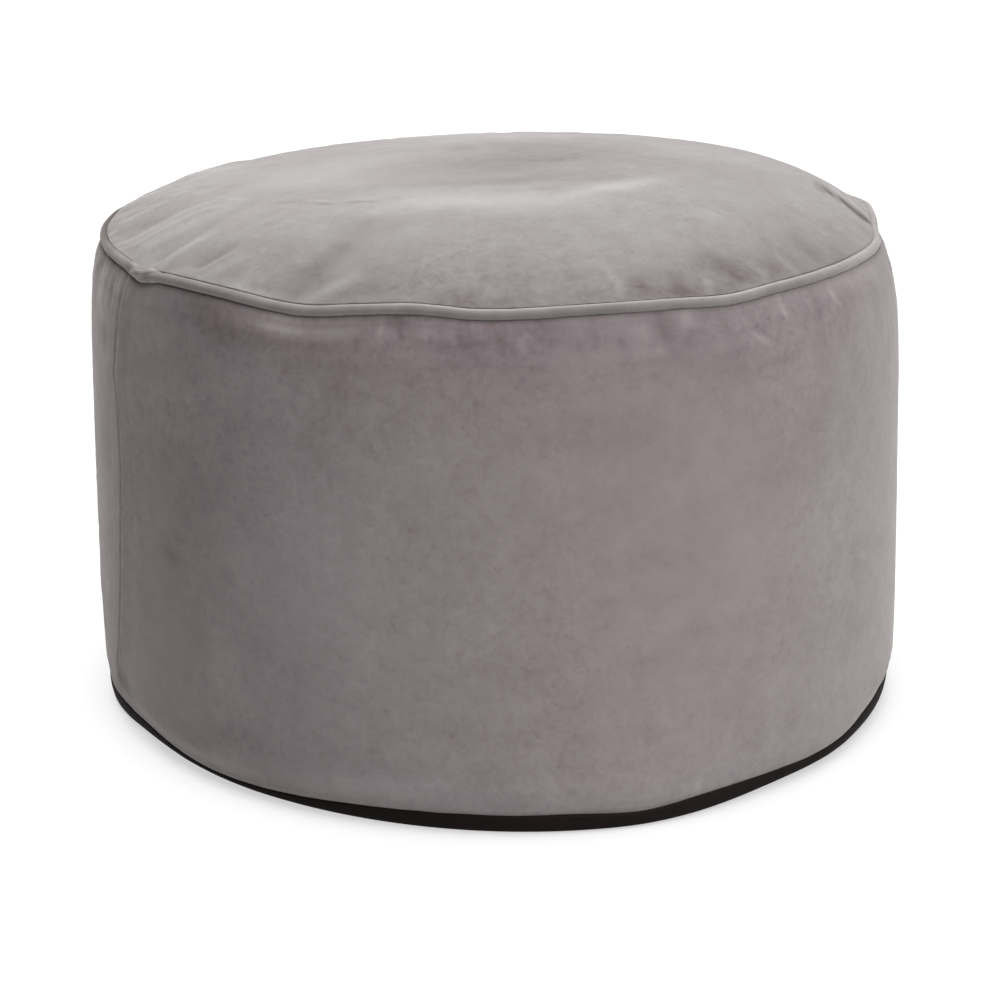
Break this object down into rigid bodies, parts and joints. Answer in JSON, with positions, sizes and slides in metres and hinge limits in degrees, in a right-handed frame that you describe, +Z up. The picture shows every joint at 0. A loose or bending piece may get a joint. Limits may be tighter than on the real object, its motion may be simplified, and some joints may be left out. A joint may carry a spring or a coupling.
{
  "type": "bean bag footstool",
  "caption": "Round bean bag footstool in taupe-grey velvet, with a soft crowned top, piping in the top seam and a black base panel.",
  "frame": {"origin": "on the floor, under the middle of the footstool's bounding box", "axes": "+Z up, -Y towards the front and +X to the right as seen from the front, where the upright seam stands 59 degrees to the left"},
  "size_m": [0.507, 0.5059, 0.3351],
  "materials": {
    "velvet": "matt taupe-grey velvet with a soft sheen",
    "piping_velvet": "the same velvet, cut on the bias and drawn tight over a cord",
    "base_cloth": "black base cloth with a coarse weave, slightly glossy"
  },
  "bodies": {
    "root": {"top_panel": "velvet", "side_band": "velvet", "piping": "piping_velvet", "base_panel": "base_cloth"}
  },
  "joints": []
}
